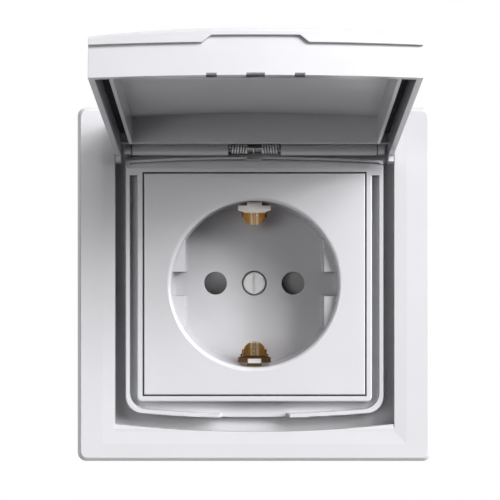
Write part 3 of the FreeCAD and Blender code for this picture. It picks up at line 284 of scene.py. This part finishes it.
def spline(points, steps=6):
    """Points on a smooth line through the given ones."""
    pts = [Vector(p) for p in points]
    pts = [pts[0] * 2 - pts[1]] + pts + [pts[-1] * 2 - pts[-2]]
    out = []
    for i in range(1, len(pts) - 2):
        a, b, c, d = pts[i - 1:i + 3]
        for k in range(steps):
            t = k / steps
            out.append(0.5 * ((2 * b) + (c - a) * t + (2 * a - 5 * b + 4 * c - d) * t * t + (3 * b - a - 3 * c + d) * t ** 3))
    out.append(pts[-2])
    return out


# ------------------------------------------------------------------ hinge spring, two coils and a loop between them
WIRE = 0.18
MEAN = 1.2 - WIRE
TURNS = 6.0


def half_spring(name, sign):
    coil = []
    count = int((TURNS + 1) * 26)
    inner, outer = COIL_IN + WIRE, COIL_OUT - WIRE
    # the coil starts in front of the pin at mid height with a closed turn and then winds outwards
    for i in range(count + 1):
        turn = i / 26
        t = max(0.0, turn - 1) / TURNS
        a = math.radians(180) + 2 * math.pi * turn
        x = sign * (inner + (outer - inner) * t)
        coil.append(Vector((x, HINGE.y + MEAN * math.cos(a), HINGE.z + MEAN * math.sin(a))))
    start = coil[0]
    cross = [Vector((0.0, start.y - 0.02, start.z - 0.1)), Vector((sign * 0.9, start.y - 0.02, start.z - 0.1))]
    return wire(name, spline(cross + coil[:1], 5)[:-1] + coil, WIRE, finish=steel)


springs = [half_spring("hinge_spring_left", -1), half_spring("hinge_spring_right", 1)]
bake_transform(springs[0])
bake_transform(springs[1])
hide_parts("hinge_spring")
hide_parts("hinge_spring")
loop = wire("hinge_spring_tail", spline([
    (-0.2, HINGE.y - MEAN - 0.02, HINGE.z - 0.1), (-0.2, HINGE.y - MEAN - 0.02, HINGE.z - 0.7), (-0.22, HINGE.y - MEAN + 0.04, HINGE.z - 1.3),
], 6), 0.15)
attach(loop, "root")


# ------------------------------------------------------------------ shutter springs
def pressure_spring(name, x):
    points = []
    turns, low, high, y = 8.0, 5.3, 15.9, 13.5
    count = int(turns * 22)
    for i in range(count + 1):
        t = i / count
        # closed ends, open middle
        rise = t + 0.035 * math.sin(2 * math.pi * t) * -1.0
        a = 2 * math.pi * turns * t
        points.append((x + 1.15 * math.cos(a), y + 1.15 * math.sin(a), low + (high - low) * rise))
    made = wire(name, points, 0.18, finish=steel)
    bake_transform(made)
    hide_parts("shutter_springs")
    return made


pressure_spring("shutter_spring_left", -9.3)
pressure_spring("shutter_spring_right", 9.3)

# ------------------------------------------------------------------ floor
floor_mesh = bpy.data.meshes.new("floor")
bm = bmesh.new()
bmesh.ops.create_circle(bm, cap_ends=True, segments=96, radius=0.42)
bm.to_mesh(floor_mesh)
bm.free()
floor = bpy.data.objects.new("floor", floor_mesh)
floor.location = (0, 0.02, -0.55)
bpy.context.scene.collection.objects.link(floor)
pale, ns, ls, out = material("floor_pale")
ls.new(tint(ns, ls, noise(ns, ls, 9.0, 3.0), (0.5, 0.5, 0.51), (0.54, 0.54, 0.55)), out.inputs["Base Color"])
out.inputs["Roughness"].default_value = 0.7
floor_mesh.materials.append(pale)

# ------------------------------------------------------------------ camera
camera = bpy.data.cameras.new("camera")
camera.sensor_width = 36.0
camera.lens = 108.0
camera.shift_x = 0.0
camera.shift_y = 0.028
camera.clip_start, camera.clip_end = 0.01, 20.0
eye = bpy.data.objects.new("camera", camera)
eye.location = (-0.00105, -0.3585, 0.0047)
eye.rotation_euler = (math.radians(90), 0, 0)
bpy.context.scene.collection.objects.link(eye)
bpy.context.scene.camera = eye


# ------------------------------------------------------------------ light
def softbox(name, azimuth, elevation, distance, width, height, power, aim=(0, 0, 0)):
    """Azimuth 0 stands in front of the socket, 90 at its right."""
    a, e = math.radians(azimuth), math.radians(elevation)
    lamp = bpy.data.lights.new(name, "AREA")
    lamp.shape = "RECTANGLE"
    lamp.size, lamp.size_y = width, height
    lamp.energy = power
    made = bpy.data.objects.new(name, lamp)
    made.location = Vector(aim) + distance * Vector((math.sin(a) * math.cos(e), -math.cos(a) * math.cos(e), math.sin(e)))
    made.rotation_euler = (Vector(aim) - made.location).to_track_quat("-Z", "Y").to_euler()
    bpy.context.scene.collection.objects.link(made)
    return made


LIGHTS = {
    "key_right": (40, 28, 4.0, 1.86, 1.5, 139.0),
    "side_right": (60, 14, 4.0, 1.86, 1.5, 162.0),
    "high_right": (22, 42, 4.0, 1.86, 1.5, 48.0),
    "high_middle": (0, 42, 4.0, 1.86, 1.5, 10.0),
    "front_left": (-22, 4, 4.0, 1.86, 1.5, 35.0),
}
for name, settings in LIGHTS.items():
    softbox(name, *settings)

world = bpy.data.worlds.new("studio")
bpy.context.scene.world = world
world.use_nodes = True
ns, ls = world.node_tree.nodes, world.node_tree.links
ns.clear()
where = ns.new("ShaderNodeTexCoord")
split = ns.new("ShaderNodeSeparateXYZ")
ls.new(where.outputs["Generated"], split.inputs[0])
# a white sweep behind the object, a dimmer room in front of it and below
behind = ns.new("ShaderNodeMapRange")
behind.inputs["From Min"].default_value = 0.0
behind.inputs["From Max"].default_value = 0.35
behind.inputs["To Min"].default_value = 0.0
behind.inputs["To Max"].default_value = 1.0
ls.new(split.outputs["Y"], behind.inputs["Value"])
light = ns.new("ShaderNodeBackground")
light.inputs["Color"].default_value = (1, 1, 1, 1)
ls.new(behind.outputs["Result"], light.inputs["Strength"])
out = ns.new("ShaderNodeOutputWorld")
ls.new(light.outputs["Background"], out.inputs["Surface"])

view = bpy.context.scene.view_settings
view.view_transform = "Standard"
view.look = "None"
view.exposure = 0.0
view.gamma = 1.0
